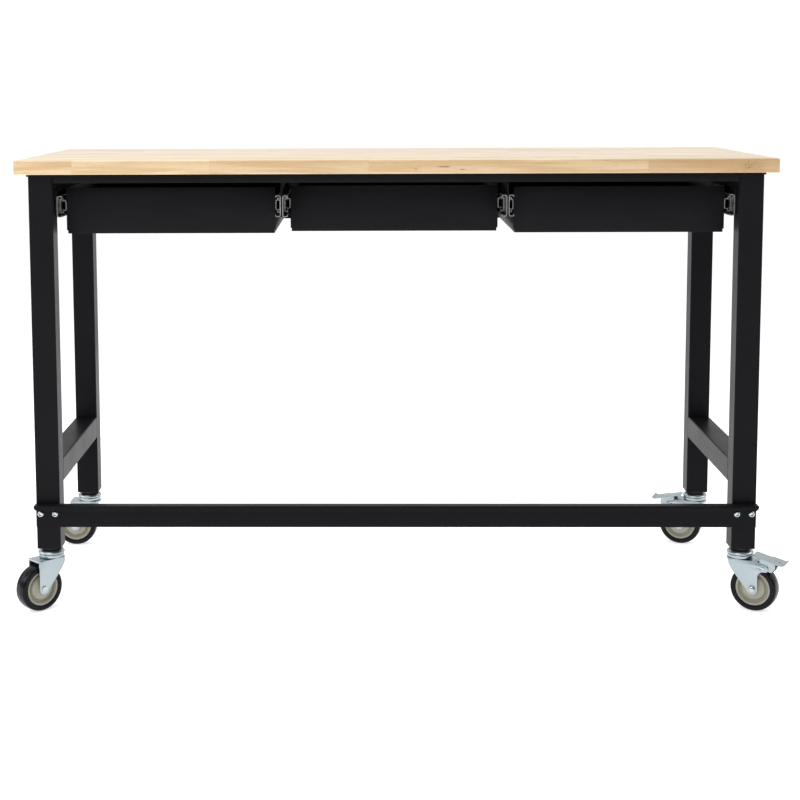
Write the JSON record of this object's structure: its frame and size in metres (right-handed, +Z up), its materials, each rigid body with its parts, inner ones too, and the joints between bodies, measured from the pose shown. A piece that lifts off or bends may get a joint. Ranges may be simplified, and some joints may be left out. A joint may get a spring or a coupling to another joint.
{
  "type": "workbench with drawers",
  "caption": "Long workbench on swivel casters: solid wood top on a black square-tube frame, a row of shallow drawers on ball-bearing slides under the top, and braked casters at one end.",
  "frame": {"origin": "on the floor, under the middle of the worktop", "axes": "+X along the bench to the end with the braked casters, +Y from the back to the front where the drawers open, +Z up"},
  "size_m": [1.6646, 0.6287, 0.968],
  "materials": {
    "wood_top": "satin lacquer over finger-jointed hardwood staves",
    "frame_black": "satin black powder coat",
    "drawer_black": "satin black powder coat",
    "caster_zinc": "bright blue-white zinc plate",
    "slide_zinc": "clear zinc plate",
    "bolt_zinc": "zinc plate",
    "pull_aluminium": "satin anodised",
    "tyre_black": "glossy black polyurethane",
    "rim_beige": "moulded grey-beige core",
    "collar_black": "moulded black",
    "pad_rubber": "matt black"
  },
  "bodies": {
    "frame": {"worktop": "wood_top", "leg_back_left": "frame_black", "leg_back_right": "frame_black", "leg_front_left": "frame_black", "leg_front_right": "frame_black", "side_stretcher_left": "frame_black", "side_stretcher_right": "frame_black", "top_rail_left": "frame_black", "top_rail_right": "frame_black", "top_rail_back": "frame_black", "top_rail_front": "frame_black", "back_stretcher": "frame_black", "drawer_hanger_left": "frame_black", "drawer_hanger_right": "frame_black", "slide_bar_left": "frame_black", "slide_bar_right": "frame_black", "stretcher_bolts": "bolt_zinc", "worktop_screws": "bolt_zinc", "slide_screws": "bolt_zinc", "leg_plugs": "collar_black", "caster_races": "caster_zinc", "slide_cabinet_left": "slide_zinc", "slide_cabinet_middle": "slide_zinc", "slide_cabinet_right": "slide_zinc"},
    "drawer_left": {"drawer_box_left": "drawer_black", "drawer_front_left": "drawer_black", "drawer_pull_left": "pull_aluminium", "slide_drawer_left": "slide_zinc"},
    "slide_left": {"slide_intermediate_left": "slide_zinc"},
    "drawer_middle": {"drawer_box_middle": "drawer_black", "drawer_front_middle": "drawer_black", "drawer_pull_middle": "pull_aluminium", "slide_drawer_middle": "slide_zinc"},
    "slide_middle": {"slide_intermediate_middle": "slide_zinc"},
    "drawer_right": {"drawer_box_right": "drawer_black", "drawer_front_right": "drawer_black", "drawer_pull_right": "pull_aluminium", "slide_drawer_right": "slide_zinc"},
    "slide_right": {"slide_intermediate_right": "slide_zinc"},
    "caster_back_left": {"fork_back_left": "caster_zinc", "axle_back_left": "bolt_zinc"},
    "wheel_back_left": {"tyre_back_left": "tyre_black", "rim_back_left": "rim_beige"},
    "caster_back_right": {"fork_back_right": "caster_zinc", "axle_back_right": "bolt_zinc"},
    "wheel_back_right": {"tyre_back_right": "tyre_black", "rim_back_right": "rim_beige"},
    "pedal_back_right": {"brake_pedal_back_right": "caster_zinc", "brake_pad_back_right": "pad_rubber"},
    "caster_front_left": {"fork_front_left": "caster_zinc", "axle_front_left": "bolt_zinc"},
    "wheel_front_left": {"tyre_front_left": "tyre_black", "rim_front_left": "rim_beige"},
    "caster_front_right": {"fork_front_right": "caster_zinc", "axle_front_right": "bolt_zinc"},
    "wheel_front_right": {"tyre_front_right": "tyre_black", "rim_front_right": "rim_beige"},
    "pedal_front_right": {"brake_pedal_front_right": "caster_zinc", "brake_pad_front_right": "pad_rubber"}
  },
  "joints": [
    {"name": "drawer_left_open", "type": "slide", "parent": "frame", "child": "drawer_left", "axis": [0, 1, 0], "range_m": [0, 0.43]},
    {"name": "slide_left_extend", "type": "slide", "parent": "frame", "child": "slide_left", "axis": [0, 1, 0], "range_m": [0, 0.215]},
    {"name": "drawer_middle_open", "type": "slide", "parent": "frame", "child": "drawer_middle", "axis": [0, 1, 0], "range_m": [-0.044, 0.386]},
    {"name": "slide_middle_extend", "type": "slide", "parent": "frame", "child": "slide_middle", "axis": [0, 1, 0], "range_m": [-0.022, 0.193]},
    {"name": "drawer_right_open", "type": "slide", "parent": "frame", "child": "drawer_right", "axis": [0, 1, 0], "range_m": [0, 0.43]},
    {"name": "slide_right_extend", "type": "slide", "parent": "frame", "child": "slide_right", "axis": [0, 1, 0], "range_m": [0, 0.215]},
    {"name": "caster_back_left_swivel", "type": "hinge", "parent": "frame", "child": "caster_back_left", "pos_m": [-0.7416, -0.2371, 0.115], "axis": [0, 0, 1], "continuous": true},
    {"name": "wheel_back_left_spin", "type": "hinge", "parent": "caster_back_left", "child": "wheel_back_left", "pos_m": [-0.76534, -0.26002, 0.05], "axis": [0.6947, -0.7193, 0], "continuous": true},
    {"name": "caster_back_right_swivel", "type": "hinge", "parent": "frame", "child": "caster_back_right", "pos_m": [0.7416, -0.2371, 0.115], "axis": [0, 0, 1], "continuous": true},
    {"name": "wheel_back_right_spin", "type": "hinge", "parent": "caster_back_right", "child": "wheel_back_right", "pos_m": [0.77018, -0.2536, 0.05], "axis": [0.5, 0.866, 0], "continuous": true},
    {"name": "brake_back_right_press", "type": "hinge", "parent": "caster_back_right", "child": "pedal_back_right", "pos_m": [0.78923, -0.2646, 0.099], "axis": [0.5, 0.866, 0], "range_deg": [0, 8]},
    {"name": "caster_front_left_swivel", "type": "hinge", "parent": "frame", "child": "caster_front_left", "pos_m": [-0.7416, 0.2371, 0.115], "axis": [0, 0, 1], "continuous": true},
    {"name": "wheel_front_left_spin", "type": "hinge", "parent": "caster_front_left", "child": "wheel_front_left", "pos_m": [-0.77458, 0.23825, 0.05], "axis": [-0.0349, -0.9994, 0], "continuous": true},
    {"name": "caster_front_right_swivel", "type": "hinge", "parent": "frame", "child": "caster_front_right", "pos_m": [0.7416, 0.2371, 0.115], "axis": [0, 0, 1], "continuous": true},
    {"name": "wheel_front_right_spin", "type": "hinge", "parent": "caster_front_right", "child": "wheel_front_right", "pos_m": [0.711, 0.24946, 0.05], "axis": [-0.3746, -0.9272, 0], "continuous": true},
    {"name": "brake_front_right_press", "type": "hinge", "parent": "caster_front_right", "child": "pedal_front_right", "pos_m": [0.69061, 0.2577, 0.099], "axis": [-0.3746, -0.9272, 0], "range_deg": [0, 8]}
  ],
  "couplings": [
    {"joint": "slide_left_extend", "follows": "drawer_left_open", "ratio": 0.5},
    {"joint": "slide_middle_extend", "follows": "drawer_middle_open", "ratio": 0.5},
    {"joint": "slide_right_extend", "follows": "drawer_right_open", "ratio": 0.5}
  ]
}
